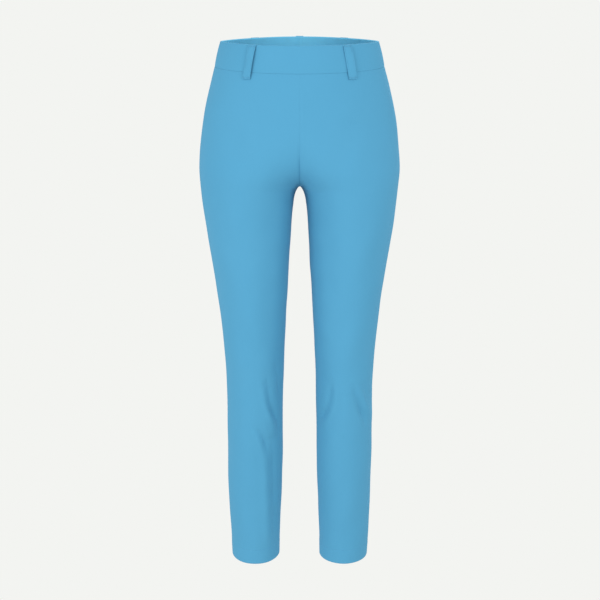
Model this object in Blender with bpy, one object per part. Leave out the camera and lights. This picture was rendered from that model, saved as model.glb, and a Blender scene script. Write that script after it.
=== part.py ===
"""Treggings: pull-on stretch trousers to the ankle, in the hollow form they have when worn.

Metres, +Z up. The front faces -Y and the wearer's left is at +X. The origin is at the middle
of the waist opening, level with the top of the waistband at the sides, where the wearer holds
the garment up.

Every piece is a wall of cloth. Its middle form comes from one short table of sections: a
section is half of an oval, from the middle of the garment (or the inner side of the leg) round
to the side seam, once for the front and once for the back. Sizes in the tables are in
millimetres and are scaled by MM.
"""
import bisect
import math
from collections import namedtuple

import bpy
from mathutils import Vector

MM = 0.001

# ---------------------------------------------------------------- driving sizes, millimetres
CLOTH = 1.6                 # one layer of stretch twill, with its body
HEM_CLOTH = 3.2             # the turned hem is two layers
HEM_DEPTH = 30.0
BAND_CLOTH = 2.8            # the waistband is folded double over its elastic
BAND_PROUD = 1.0            # how far the waistband stands out from the legs' cloth
BAND_DEPTH = 43.0
SEAM_GAP = 0.3              # between two pieces that are sewn together
HEM_DROP = 965.0            # top of the waistband to the hem, at the side
CROTCH_DROP = 251.4
CROTCH_ARCH = 26.0          # drop over which the gap between the legs opens below the crotch
CROTCH_EASE = 10.0          # how soon the same gap is felt further round the leg
FRONT_CURVE = 120.0         # height over which the centre front seam bends to the crotch
BACK_CURVE = 165.0          # the same for the centre back seam
CURVE_POWER = 1.5
FRONT_PINCH = 0.35          # how far the waist narrows to an edge at its sides, in front
BACK_PINCH = 0.7            # the same at the back
PINCH_DROP = 85.0           # drop at which that has faded out
LOOP_WIDTH = 13.4
LOOP_CLOTH = 1.6
LOOP_TOP = 0.6              # drop of a belt loop's upper fold, just under the waistband's edge
CENTRE_LOOP_TOP = -0.8      # the centre back one is caught just over the edge
LOOP_END = 54.7             # drop of its lower end, below the waistband

# ---------------------------------------------------------------- sections
# drop   down from the top of the waistband, at the side seam
# side   from the middle plane out to the side seam
# inner  from the middle plane to the inner side of the leg; the crotch arch closes it
# front  how far forward the section reaches (negative y)
# back   how far back it reaches
# seam   y of the side seam and of the inside leg seam
# rise   slope of the section, up towards the back
Section = namedtuple("Section", "drop side inner front back seam rise")
SECTIONS = (
    Section(0, 137.3, 10.5, -95, 97, 0, 0.048),
    Section(43, 148.3, 10.5, -99, 104, 0, 0.083),
    Section(85, 159.3, 10.5, -103, 113, 0, 0.060),
    Section(130, 168.8, 10.5, -106, 122, 0, 0.025),
    Section(175, 174.7, 10.5, -107, 127, 0, 0.0),
    Section(220, 177.9, 10.5, -105, 125, 0, 0.0),
    Section(251, 176.0, 10.5, -100, 113, 0, 0.0),
    Section(300, 170.9, 13.9, -94, 97, 0, 0.0),
    Section(350, 163.8, 16.9, -89, 87, 0, 0.0),
    Section(400, 155.9, 19.8, -84, 80, 0, 0.0),
    Section(463, 146.9, 23.5, -77, 75, 0, 0.0),
    Section(538, 138.9, 27.1, -68, 70, 0, 0.0),
    Section(615, 134.1, 29.7, -60, 64, 1, 0.0),
    Section(692, 134.0, 31.3, -53, 66, 5, 0.0),
    Section(771, 134.2, 31.9, -45, 69, 11, 0.010),
    Section(850, 133.2, 34.6, -36, 69, 17, 0.040),
    Section(931, 129.9, 37.8, -27, 70, 22, 0.080),
    Section(965, 128.4, 38.6, -24, 71, 23.5, 0.090),
)

# Folds that are large enough to shape the cloth. Each runs straight from one place to another,
# given by its distance from the middle plane and its drop, on one leg and one facing.
Fold = namedtuple("Fold", "side facing x_from drop_from x_to drop_to height width")
LEFT, RIGHT = 1, -1
FRONT, BACK = -1, 1
FOLDS = (
    Fold(RIGHT, FRONT, 56, 618, 46, 664, -2.6, 8),
    Fold(RIGHT, FRONT, 46, 664, 38, 700, -2.4, 7),
    Fold(RIGHT, FRONT, 72, 640, 62, 712, 1.6, 10),
    Fold(LEFT, FRONT, 57, 622, 50, 656, -2.4, 7),
    Fold(LEFT, FRONT, 50, 656, 35, 692, -2.6, 7),
    Fold(LEFT, FRONT, 97, 622, 122, 692, -2.6, 8),
    Fold(LEFT, FRONT, 80, 628, 84, 690, 1.4, 14),
    Fold(RIGHT, BACK, 52, 618, 112, 604, -2.4, 9),
    Fold(RIGHT, BACK, 60, 652, 118, 662, -2.2, 10),
    Fold(LEFT, BACK, 58, 606, 116, 620, -2.4, 9),
    Fold(LEFT, BACK, 50, 664, 108, 650, -2.2, 10),
    Fold(RIGHT, BACK, 40, 286, 112, 306, -2.6, 14),
    Fold(LEFT, BACK, 44, 292, 120, 300, -2.6, 14),
)

# ---------------------------------------------------------------- mesh divisions
# A leg panel's rows of points: each zone ends at a drop and is cut into a number of steps,
# bunched towards its end (+1), its start (-1) or neither (0).
Zone = namedtuple("Zone", "end steps bunch")
LEG_ZONES = (
    Zone(170, 6, 0),
    Zone(CROTCH_DROP, 8, 1),
    Zone(300, 6, -1),
    Zone(595, 11, 0),
    Zone(715, 11, 0),
    Zone(HEM_DROP - HEM_DEPTH, 8, 0),
)
LEG_COLUMNS = 12
BAND_ROWS = 4
LOOP_ROWS = 9
LOOP_COLUMNS = 2

# How far a belt loop's inner face stands off the legs' form, against the share of its length.
Stand = namedtuple("Stand", "along height")
LOOP_STANDS = (
    Stand(0.0, 1.5), Stand(0.14, 2.3), Stand(0.5, 2.7), Stand(0.8, 2.0), Stand(0.92, 1.1), Stand(1.0, 0.6),
)

# ---------------------------------------------------------------- finish, from the photograph
BLUE = (0.110, 0.402, 0.640, 1.0)
BLUE_INSIDE = (0.100, 0.375, 0.610, 1.0)
CLOTH_ROUGHNESS = 0.85


# ---------------------------------------------------------------- the form
def curve_through(rows, place):
    """The row that a place has, on a smooth curve through all the rows of a table."""
    stations = [row[0] for row in rows]
    low = min(max(bisect.bisect_right(stations, place) - 1, 0), len(rows) - 2)
    before = rows[max(low - 1, 0)]
    start = rows[low]
    end = rows[low + 1]
    after = rows[min(low + 2, len(rows) - 1)]
    span = end[0] - start[0]
    t = min(max((place - start[0]) / span, 0.0), 1.0)
    values = [place]
    for column in range(1, len(start)):
        slope_start = (end[column] - before[column]) / (end[0] - before[0]) * span
        slope_end = (after[column] - start[column]) / (after[0] - start[0]) * span
        values.append(
            (2 * t ** 3 - 3 * t ** 2 + 1) * start[column]
            + (t ** 3 - 2 * t ** 2 + t) * slope_start
            + (3 * t ** 2 - 2 * t ** 3) * end[column]
            + (t ** 3 - t ** 2) * slope_end
        )
    return type(start)(*values)


def overlap(drop, facing):
    """How far one leg's oval still reaches into the other's, from 0 at the hips to 1."""
    curve = FRONT_CURVE if facing == FRONT else BACK_CURVE
    share = min(max((CROTCH_DROP - drop) / curve, 0.0), 1.0)
    return (1.0 - share) ** CURVE_POWER


def first_turn(drop, facing):
    """The turn at which a section's half starts: the centre seam, or the inner side at 0."""
    return math.acos(overlap(drop, facing))


def leg_gap(section, turn):
    """x of the leg's inner side, as the cloth at a turn feels it: a round arch at the crotch."""
    below = section.drop - CROTCH_DROP
    share = min(below / CROTCH_ARCH, 1.0)
    arch = math.sqrt(1.0 - (1.0 - share) ** 2)
    eased = 1.0 - math.exp(-below / CROTCH_EASE)
    nearness = (0.5 + 0.5 * math.cos(turn)) ** 2
    return section.inner * (nearness * arch + (1.0 - nearness) * eased)


def oval(section, turn, facing):
    """Centre and half width of a section's oval.

    Below the crotch the oval is the whole leg. Above it the two legs' ovals run into each
    other: they are cut off at the middle plane, where they leave the groove of the centre seam.
    """
    if section.drop >= CROTCH_DROP:
        inner = leg_gap(section, turn)
        return (section.side + inner) / 2, (section.side - inner) / 2
    offset = overlap(section.drop, facing)
    half = section.side / (1.0 + offset)
    return offset * half, half


def depth_share(drop, turn, facing):
    """Share of a section's reach at a turn: an oval's, drawn in beside the seams at the waist."""
    pinch = FRONT_PINCH if facing == FRONT else BACK_PINCH
    power = 1.0 + pinch * max(1.0 - drop / PINCH_DROP, 0.0) ** 2
    return math.copysign(abs(math.sin(turn)) ** power, math.sin(turn))


def form_point(drop, turn, facing):
    """A point of the form on the wearer's left: turn is 0 at the inner leg, pi at the side."""
    section = curve_through(SECTIONS, drop)
    centre, half = oval(section, turn, facing)
    reach = section.seam - section.front if facing == FRONT else section.back - section.seam
    y = facing * reach * depth_share(drop, turn, facing)
    return Vector((centre - half * math.cos(turn), section.seam + y, section.rise * y - drop))


def form_normal(drop, turn, facing):
    """The direction out of the cloth at that point."""
    step = 0.02
    across = form_point(drop, turn + step, facing) - form_point(drop, turn - step, facing)
    down = form_point(drop + 0.5, turn, facing) - form_point(drop - 0.5, turn, facing)
    return (across.cross(down) * facing).normalized()


def fold_height(point, facing, side):
    """How far the folds push the cloth out (or pull it in) at a point of one leg."""
    total = 0.0
    for fold in FOLDS:
        if fold.side != side or fold.facing != facing:
            continue
        run = Vector((fold.x_to - fold.x_from, fold.drop_to - fold.drop_from))
        here = Vector((point.x - fold.x_from, -point.z - fold.drop_from))
        along = min(max(here.dot(run) / run.length_squared, 0.0), 1.0)
        away = (here - run * along).length / fold.width
        total += fold.height * math.exp(-away ** 2)
    return total


def cloth_point(drop, turn, facing, side, lift):
    """A point lifted off the form, square to it, with the folds of its leg."""
    point = form_point(drop, turn, facing)
    normal = form_normal(drop, turn, facing)
    return point + normal * (lift + fold_height(point, facing, side))


def seam_point(drop, facing, lift):
    """A point on the centre front or centre back seam, kept beside the middle plane."""
    start = first_turn(drop, facing)
    point = form_point(drop, start, facing)
    if drop < CROTCH_DROP:
        in_plane = form_normal(drop, start, facing)
        in_plane.x = 0.0
    else:
        in_plane = Vector((0.0, 0.0, -1.0))
    point += in_plane * (lift / in_plane.length_squared)
    point.x = SEAM_GAP / 2
    return point


# ---------------------------------------------------------------- walls
def wall_solid(name, outer, inner, side, colour, parent):
    """A closed wall between two grids of points, as one object."""
    rows = len(outer)
    columns = len(outer[0])
    points = [point * MM for grid in (outer, inner) for row in grid for point in row]
    if side == RIGHT:
        points = [Vector((-point.x, point.y, point.z)) for point in points]

    def index(layer, row, column):
        return (layer * rows + row) * columns + column

    faces = []
    for row in range(rows - 1):
        for column in range(columns - 1):
            for layer in (0, 1):
                a = index(layer, row, column)
                b = index(layer, row, column + 1)
                c = index(layer, row + 1, column + 1)
                d = index(layer, row + 1, column)
                if layer == 0:
                    faces += [(a, d, c), (a, c, b)]
                else:
                    faces += [(a, c, d), (a, b, c)]
    rim = [(0, column) for column in range(columns)]
    rim += [(row, columns - 1) for row in range(1, rows)]
    rim += [(rows - 1, column) for column in range(columns - 2, -1, -1)]
    rim += [(row, 0) for row in range(rows - 2, 0, -1)]
    for here, there in zip(rim, rim[1:] + rim[:1]):
        a, b = index(0, *here), index(0, *there)
        c, d = index(1, *there), index(1, *here)
        faces += [(a, b, c), (a, c, d)]

    mesh = bpy.data.meshes.new(name)
    mesh.from_pydata(points, [], faces)
    if signed_volume(mesh) < 0:
        mesh.flip_normals()
    mesh.shade_smooth()
    mesh.set_sharp_from_angle(angle=math.radians(50))
    mesh.materials.append(cloth_material(name, colour))
    piece = bpy.data.objects.new(name, mesh)
    bpy.context.collection.objects.link(piece)
    piece.parent = parent
    return piece


def signed_volume(mesh):
    """Six times the volume that the mesh encloses, negative where it is inside out."""
    total = 0.0
    for face in mesh.polygons:
        a, b, c = (mesh.vertices[corner].co for corner in face.vertices)
        total += a.dot(b.cross(c))
    return total


def cloth_material(name, colour):
    """The cloth's plain finish."""
    material = bpy.data.materials.new(name)
    material.use_nodes = True
    shader = material.node_tree.nodes["Principled BSDF"]
    shader.inputs["Base Color"].default_value = colour
    shader.inputs["Roughness"].default_value = CLOTH_ROUGHNESS
    shader.inputs["Metallic"].default_value = 0.0
    material.diffuse_color = colour
    return material


# ---------------------------------------------------------------- pieces
def leg_drops():
    """The drops of a leg panel's rows, from the waistband's seam to the hem."""
    drops = [BAND_DEPTH + SEAM_GAP / 2]
    for zone in LEG_ZONES:
        start = drops[-1]
        for step in range(1, zone.steps + 1):
            share = step / zone.steps
            if zone.bunch > 0:
                share = math.sin(share * math.pi / 2)
            elif zone.bunch < 0:
                share = 1.0 - math.cos(share * math.pi / 2)
            drops.append(start + (zone.end - start) * share)
    hem_top = drops[-1]
    drops.append(hem_top + 1.0)
    drops.append(hem_top + HEM_DEPTH / 2)
    drops.append(HEM_DROP)
    return drops


def leg_panel(name, facing, side, parent):
    """Front or back leg: from the waistband to the hem, and from the inner edge to the side."""
    hem_top = HEM_DROP - HEM_DEPTH
    walls = []
    for is_inner in (False, True):
        grid = []
        for drop in leg_drops():
            lift = 0.0
            if is_inner:
                lift = -HEM_CLOTH if drop > hem_top + 0.5 else -CLOTH
            start = first_turn(drop, facing)
            row = []
            for column in range(LEG_COLUMNS + 1):
                turn = start + (math.pi - start) * column / LEG_COLUMNS
                if column == 0 and drop <= CROTCH_DROP:
                    point = seam_point(drop, facing, lift)
                else:
                    point = cloth_point(drop, turn, facing, side, lift)
                on_seam = column == LEG_COLUMNS or (column == 0 and drop >= CROTCH_DROP)
                if on_seam:
                    point.y = curve_through(SECTIONS, drop).seam + facing * SEAM_GAP / 2
                row.append(point)
            grid.append(row)
        walls.append(grid)
    return wall_solid(name, walls[0], walls[1], side, BLUE, parent)


def band_panel(name, facing, sides, parent):
    """A stretch of waistband, over both sides (front) or one side (each half of the back)."""
    walls = []
    for lift in (BAND_PROUD, BAND_PROUD - BAND_CLOTH):
        grid = []
        for step in range(BAND_ROWS + 1):
            drop = (BAND_DEPTH - SEAM_GAP / 2) * step / BAND_ROWS
            row = []
            for column in range(LEG_COLUMNS + 1):
                turn = math.pi / 2 * (1 + column / LEG_COLUMNS)
                point = form_point(drop, turn, facing) + form_normal(drop, turn, facing) * lift
                if column == LEG_COLUMNS:
                    point.y = facing * SEAM_GAP / 2
                if column == 0:
                    point.x = SEAM_GAP / 2 if len(sides) == 1 else 0.0
                row.append(point)
            if len(sides) == 2:
                mirrored = [Vector((-point.x, point.y, point.z)) for point in row[:0:-1]]
                row = mirrored + row
            grid.append(row)
        walls.append(grid)
    return wall_solid(name, walls[0], walls[1], sides[0], BLUE_INSIDE, parent)


def surface_at(x, drop, facing, lift):
    """A point lifted off the form, by its distance from the middle plane."""
    centre, half = oval(curve_through(SECTIONS, drop), math.pi / 2, facing)
    turn = math.acos((centre - abs(x)) / half)
    point = form_point(drop, turn, facing) + form_normal(drop, turn, facing) * lift
    if x < 0:
        point.x = -point.x
    return point


def belt_loop(name, facing, side, x_top, x_low, top, parent):
    """A strip from the waistband's upper edge to below its seam, bowed out between its ends."""
    walls = []
    for thickness in (LOOP_CLOTH, 0.0):
        grid = []
        for step in range(LOOP_ROWS + 1):
            along = step / LOOP_ROWS
            drop = top + (LOOP_END - top) * along
            centre = x_top + (x_low - x_top) * along
            lift = curve_through(LOOP_STANDS, along).height + thickness
            row = []
            for column in range(LOOP_COLUMNS + 1):
                x = centre + LOOP_WIDTH * (column / LOOP_COLUMNS - 0.5)
                row.append(surface_at(x, drop, facing, lift))
            grid.append(row)
        walls.append(grid)
    return wall_solid(name, walls[0], walls[1], side, BLUE, parent)


def clear_scene():
    """Take away whatever the scene starts with."""
    for item in list(bpy.data.objects):
        bpy.data.objects.remove(item, do_unlink=True)


def build():
    """Model every piece."""
    clear_scene()
    garment = bpy.data.objects.new("treggings", None)
    bpy.context.collection.objects.link(garment)
    for side, side_name in ((LEFT, "left"), (RIGHT, "right")):
        for facing, facing_name in ((FRONT, "front"), (BACK, "back")):
            leg_panel(f"leg_{facing_name}_{side_name}", facing, side, garment)
        band_panel(f"waistband_back_{side_name}", BACK, (side,), garment)
        belt_loop(f"belt_loop_front_{side_name}", FRONT, side, 78.9, 89.9, LOOP_TOP, garment)
        belt_loop(f"belt_loop_back_{side_name}", BACK, side, 79.0, 86.0, LOOP_TOP, garment)
    band_panel("waistband_front", FRONT, (LEFT, RIGHT), garment)
    belt_loop("belt_loop_back_centre", BACK, LEFT, 0.0, 0.0, CENTRE_LOOP_TOP, garment)


build()
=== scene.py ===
"""The finished look of the treggings: sky-blue stretch twill, pulled on and cut to the ankle.

Each piece of cloth is a thin closed shell on the form of its solid, in metres, with its creases,
seams, turned hem and stitches. Sizes in the tables are in millimetres and are scaled by MM. The
front faces -Y, the wearer's left is at +X, and the origin is at the middle of the waist opening.
"""
import math
from collections import namedtuple

import bpy
import numpy as np
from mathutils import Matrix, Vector


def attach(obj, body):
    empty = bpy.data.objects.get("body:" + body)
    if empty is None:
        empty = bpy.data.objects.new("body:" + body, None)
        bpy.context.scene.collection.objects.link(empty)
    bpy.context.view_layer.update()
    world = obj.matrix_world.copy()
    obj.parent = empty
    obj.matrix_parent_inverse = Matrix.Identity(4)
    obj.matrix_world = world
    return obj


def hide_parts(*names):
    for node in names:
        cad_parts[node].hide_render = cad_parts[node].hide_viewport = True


MM = 0.001
LEFT, RIGHT = 1, -1
FRONT, BACK = -1, 1
SIDE_NAMES = {LEFT: "left", RIGHT: "right"}
FACING_NAMES = {FRONT: "front", BACK: "back"}

# ---------------------------------------------------------------- sizes of the cut, millimetres
# A drop is a distance down from the top of the waistband at the side.
CLOTH = 1.4                 # one layer of stretch twill, with its body
HEM_CLOTH = 3.2             # the turned hem is two layers
HEM_DEPTH = 30.0
HEM_DROP = 965.0
HEM_TOP = HEM_DROP - HEM_DEPTH
HEM_STEP = 0.35             # how far the turned hem lifts the cloth over it
HEM_STITCH = 2.2            # how far its stitches run below its upper fold
BAND_CLOTH = 2.8            # the waistband is folded double over its elastic
BAND_PROUD = 1.0            # how far its face stands off the form
BAND_DEPTH = 43.0
BAND_SEAM = 0.8             # how much of a seam's sink its firmer cloth takes
CROTCH_DROP = 251.4
CROTCH_ARCH = 26.0          # height of the round arch between the legs
CROTCH_NEAR = 6             # how closely it keeps to the inner side of the leg, a power
CROTCH_EASE = 24.0          # how soon the same gap is felt further round the leg
CROTCH_SOFT = 0.05          # share of a centre seam's curve that is softened at the crotch
CROTCH_SPREAD = 0.005       # how fast the ovals part there, a share for each millimetre
FRONT_CURVE = 120.0         # height over which the centre front seam curves into the crotch
BACK_CURVE = 165.0          # the same at the back
CURVE_POWER = 1.5           # how much of that curve lies close to the crotch
LOOP_WIDTH = 13.4
LOOP_CLOTH = 1.6
LOOP_TOP = 0.6              # drop of a belt loop's upper fold, just under the waistband's edge
CENTRE_LOOP_TOP = -0.8      # the centre back one is caught just over the edge
LOOP_END = 54.7             # drop of a belt loop's lower fold
LOOP_STITCH = 1.9           # from its edge to its stitches
LOOP_PRESS = 0.28           # how deep they press into it
TACK_PRESS = 0.4            # the same for the tacks at its ends
FRONT_PINCH = 0.35          # how far the waist narrows to an edge at its sides, in front
BACK_PINCH = 0.7            # the same at the back
PINCH_DROP = 85.0           # drop at which that has faded out
SEAM_MEETS = 0.03           # half the gap that is left between two sewn edges
SEAM_SINK = 1.0             # how far the cloth is drawn in along a seam
SEAM_PULL = 2.4             # and over what width
ALLOWANCE = 7.0             # each side of a seam, pressed open inside
ALLOWANCE_CLOTH = 0.9
ALLOWANCE_GAP = 0.1         # between it and the cloth it is pressed against
SHARP_EDGE = 60.0           # degrees between two faces from which their edge is shaded sharp

# The form's sections, one row for each drop below the waistband's top, as on the solids: reach
# to the side seam, inner leg, front and back, y of the seams, and slope up towards the back.
Section = namedtuple("Section", "drop side inner front back seam rise")
SECTIONS = (
    Section(0, 137.3, 10.5, -95, 97, 0, 0.048),
    Section(43, 148.3, 10.5, -99, 104, 0, 0.083),
    Section(85, 159.3, 10.5, -103, 113, 0, 0.060),
    Section(130, 168.8, 10.5, -106, 122, 0, 0.025),
    Section(175, 174.7, 10.5, -107, 127, 0, 0.0),
    Section(220, 177.9, 10.5, -105, 125, 0, 0.0),
    Section(251, 176.0, 10.5, -100, 113, 0, 0.0),
    Section(300, 170.9, 13.9, -94, 97, 0, 0.0),
    Section(350, 163.8, 16.9, -89, 87, 0, 0.0),
    Section(400, 155.9, 19.8, -84, 80, 0, 0.0),
    Section(463, 146.9, 23.5, -77, 75, 0, 0.0),
    Section(538, 138.9, 27.1, -68, 70, 0, 0.0),
    Section(615, 134.1, 29.7, -60, 64, 1, 0.0),
    Section(692, 134.0, 31.3, -53, 66, 5, 0.0),
    Section(771, 134.2, 31.9, -45, 69, 11, 0.010),
    Section(850, 133.2, 34.6, -36, 69, 17, 0.040),
    Section(931, 129.9, 37.8, -27, 70, 22, 0.080),
    Section(965, 128.4, 38.6, -24, 71, 23.5, 0.090),
)

# Creases. Each runs through its places, (distance from the middle plane, drop), and is
# a trough where its height is negative. A crease with a lip has a soft ridge beside it.
Crease = namedtuple("Crease", "side facing places height width lip")
RIDGE_BEND = 2.0            # a ridge is round
TROUGH_BEND = 1.35          # a trough's bottom is sharper
LIP_AWAY = 1.9              # how many widths a lip lies from its trough
CREASES = (
    # knee, wearer's right: the sharp break at the inner side, and the softer one below it
    Crease(RIGHT, FRONT, ((58, 608), (52.5, 645), (47, 664), (39.5, 684), (37.5, 716)), -5.2, 5.5, 0.6),
    Crease(RIGHT, FRONT, ((80, 688), (69.2, 703), (62.5, 718), (58, 748)), -3.4, 5.5, 0.7),
    Crease(RIGHT, FRONT, ((61, 586), (58, 606), (50, 622)), -1.6, 6.5, 0.3),
    Crease(RIGHT, FRONT, ((66, 668), (58, 692), (50, 716)), 1.3, 8.0, 0.0),
    Crease(RIGHT, FRONT, ((66, 698), (64, 750), (62, 850), (59, 950)), 3.2, 8.0, 0.0),
    Crease(RIGHT, FRONT, ((50, 698), (48, 750), (47, 850), (46, 955)), -3.8, 9.0, 0.0),
    Crease(RIGHT, FRONT, ((43, 562), (42, 584), (38, 604)), -2.2, 6.5, 0.0),
    Crease(RIGHT, FRONT, ((41, 594), (38, 618), (36, 644)), -2.8, 5.5, 0.0),
    Crease(RIGHT, FRONT, ((108, 640), (116, 655), (124, 676)), -0.9, 7.0, 0.3),
    # knee, wearer's left: a break on each side of the kneecap
    Crease(LEFT, FRONT, ((57, 606), (52.5, 640), (48, 658), (39, 676), (33, 696)), -4.0, 5.5, 0.5),
    Crease(LEFT, FRONT, ((96, 612), (107.9, 646), (117.7, 676), (123, 700)), -5.4, 5.5, 0.6),
    Crease(LEFT, FRONT, ((116, 608), (121, 632), (126, 652)), -1.8, 5.0, 0.4),
    Crease(LEFT, FRONT, ((84, 628), (82, 660), (84, 690)), 1.2, 13.0, 0.0),
    # thighs: the cloth is fuller along their inner front
    Crease(RIGHT, FRONT, ((14, 226), (25, 262), (32, 330), (37, 430), (44, 560)), 3.2, 15.0, 0.0),
    Crease(LEFT, FRONT, ((14, 222), (25, 262), (32, 330), (37, 430), (44, 580)), 3.2, 15.0, 0.0),
    # crotch and hips, in front: faint drag lines
    Crease(RIGHT, FRONT, ((8, 238), (28, 222), (56, 214)), -0.5, 9.0, 0.4),
    Crease(LEFT, FRONT, ((8, 234), (30, 214), (60, 198)), -0.4, 10.0, 0.4),
    Crease(LEFT, FRONT, ((150, 62), (157, 84), (160, 104)), -0.7, 4.5, 0.5),
    Crease(LEFT, FRONT, ((158, 112), (163, 146), (168, 172)), -0.7, 5.0, 0.5),
    Crease(RIGHT, FRONT, ((151, 74), (156, 98), (160, 116)), -0.6, 4.5, 0.5),
    Crease(RIGHT, FRONT, ((161, 124), (165, 150), (170, 178)), -0.5, 5.0, 0.4),
    # shins and ankles
    Crease(RIGHT, FRONT, ((92, 742), (98, 770), (106, 792)), -0.5, 9.0, 0.3),
    Crease(LEFT, FRONT, ((62, 742), (56, 772), (48, 796)), -0.5, 9.0, 0.3),
    Crease(RIGHT, FRONT, ((104, 872), (112, 888), (121, 896)), -0.6, 7.0, 0.3),
    Crease(LEFT, FRONT, ((58, 884), (51, 898), (45, 904)), -0.5, 7.0, 0.3),
    # under the seat
    Crease(RIGHT, BACK, ((34, 276), (62, 294), (96, 303), (128, 302)), -2.4, 9.5, 0.5),
    Crease(RIGHT, BACK, ((26, 300), (52, 316), (84, 322)), -1.3, 8.0, 0.4),
    Crease(RIGHT, BACK, ((20, 262), (44, 268), (66, 280)), -1.0, 7.5, 0.4),
    Crease(LEFT, BACK, ((36, 282), (70, 296), (104, 300), (134, 294)), -2.4, 9.5, 0.5),
    Crease(LEFT, BACK, ((28, 310), (50, 318), (78, 320)), -1.2, 8.0, 0.4),
    Crease(LEFT, BACK, ((22, 266), (48, 270), (72, 284)), -1.0, 7.5, 0.4),
    Crease(RIGHT, BACK, ((8, 196), (34, 214), (70, 222)), -0.9, 10.0, 0.4),
    Crease(LEFT, BACK, ((8, 190), (30, 206), (64, 218)), -0.8, 10.0, 0.4),
    # behind the knees: short folds that fork and fade
    Crease(RIGHT, BACK, ((38, 606), (62, 618), (92, 614), (122, 600)), -2.5, 7.0, 0.6),
    Crease(RIGHT, BACK, ((44, 634), (66, 638), (88, 630)), -1.5, 6.0, 0.5),
    Crease(RIGHT, BACK, ((48, 662), (78, 652), (108, 658), (126, 668)), -2.2, 7.0, 0.5),
    Crease(RIGHT, BACK, ((58, 690), (84, 684), (112, 694)), -1.2, 7.5, 0.4),
    Crease(LEFT, BACK, ((40, 598), (70, 612), (100, 616), (124, 608)), -2.5, 7.0, 0.6),
    Crease(LEFT, BACK, ((70, 634), (96, 638), (122, 630)), -1.4, 6.0, 0.5),
    Crease(LEFT, BACK, ((42, 668), (72, 660), (100, 652), (124, 656)), -2.2, 7.0, 0.5),
    Crease(LEFT, BACK, ((52, 698), (80, 690), (104, 686)), -1.1, 7.5, 0.4),
    # calves, towards the back hem
    Crease(RIGHT, BACK, ((60, 760), (72, 800), (76, 846)), -0.7, 11.0, 0.3),
    Crease(LEFT, BACK, ((104, 752), (96, 794), (92, 838)), -0.7, 11.0, 0.3),
    Crease(RIGHT, BACK, ((94, 880), (108, 894), (122, 900)), -0.9, 8.0, 0.4),
    Crease(LEFT, BACK, ((50, 886), (64, 900), (82, 904)), -0.9, 8.0, 0.4),
)

# Gentle unevenness of hanging cloth: waves with a length across and down, a height and a start.
Wave = namedtuple("Wave", "across down height start")
WAVES = (
    Wave(96, 240, 0.40, 0.3), Wave(-71, 150, 0.26, 1.9), Wave(48, -108, 0.14, 4.1),
    Wave(-150, 83, 0.22, 2.6), Wave(37, 66, 0.07, 5.2), Wave(58, -310, 0.18, 0.9),
)

# How far a belt loop's inner face stands off the form, against the share of its length.
Stand = namedtuple("Stand", "along height")
LOOP_STANDS = (
    Stand(0.0, 1.5),
    Stand(0.14, 2.3),
    Stand(0.5, 2.7),
    Stand(0.8, 2.0),
    Stand(0.92, 1.1),
    Stand(1.0, 0.6),
)

# Each belt loop's place, the waistband it is sewn to, and its cut: distance from the middle plane
# at the top and at the foot, drop of the top, and how much one edge leans out past the other.
Cut = namedtuple("Cut", "facing side x_top x_low top lean")
LOOPS = (
    ("front_left", "front", Cut(FRONT, LEFT, 78.9, 89.9, LOOP_TOP, 2.6)),
    ("front_right", "front", Cut(FRONT, RIGHT, 78.9, 89.9, LOOP_TOP, -2.6)),
    ("back_left", "back_left", Cut(BACK, LEFT, 79.0, 86.0, LOOP_TOP, 2.6)),
    ("back_right", "back_right", Cut(BACK, RIGHT, 79.0, 86.0, LOOP_TOP, -2.6)),
    ("back_centre", "back_left", Cut(BACK, LEFT, 0.0, 0.0, CENTRE_LOOP_TOP, 0.0)),
)

# Drops of the rows of the seam edges inside, which stop short of the seams that they meet.
SIDE_EDGE_ROWS = np.linspace(BAND_DEPTH + 3, HEM_TOP - 4, 120)
INNER_EDGE_ROWS = np.linspace(CROTCH_DROP + 12, HEM_TOP - 4, 90)
CENTRE_EDGE_ROWS = np.linspace(BAND_DEPTH + 3, CROTCH_DROP - 8, 50)

# The seam edges' columns, out from the seam, and how deep their two faces lie below the cloth's.
ALLOWANCE_COLUMNS = np.linspace(0.0, ALLOWANCE, 5)
ALLOWANCE_DEPTHS = (CLOTH + ALLOWANCE_GAP, CLOTH + ALLOWANCE_GAP + ALLOWANCE_CLOTH)

# Shares of a panel's width for its first columns beside a seam.
LEG_EDGE = np.array([0.0, 0.003, 0.007, 0.012, 0.018, 0.026, 0.036])
BAND_EDGE = np.array([0.0, 0.004, 0.009, 0.016, 0.026])

# Rows of stitches: from stitch to stitch, length, thread, and the seed that varies the lengths.
Stitch = namedtuple("Stitch", "pitch length thread seed")
HEM_ROW = Stitch(3.0, 2.4, 0.42, 7)
LOOP_ROW = Stitch(2.6, 2.1, 0.38, 11)
TACK_ROW = Stitch(0.75, 1.1, 0.4, 13)
SHORTEST, LONGEST = 0.86, 1.06      # shares of that length

# ---------------------------------------------------------------- colours, from the photograph
SKY_BLUE = (0.0686, 0.2742, 0.4479, 1.0)
# Lighter and darker copies of the cloth's blue: random mottling on the cloth, and painted highlight and
# painted shade on its weave, on the thread's twist and between the overlock loops.
SKY_BLUE_LIT = (0.0799, 0.2934, 0.4704, 1.0)
SKY_BLUE_DARK_MOTTLE_AND_SHADE = (0.0583, 0.2530, 0.4213, 1.0)
THREAD_BLUE = (0.0629, 0.2636, 0.4336, 1.0)
# Painted light: the inside of the cloth is a much lighter blue than its face, to brighten the shaded
# inside of the waist.
INSIDE_BLUE_PAINTED_LIGHT = (0.1600, 0.5250, 0.7350, 1.0)
PALE = (0.896, 0.905, 0.880, 1.0)
BLACK = (0.0, 0.0, 0.0, 1.0)


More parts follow.
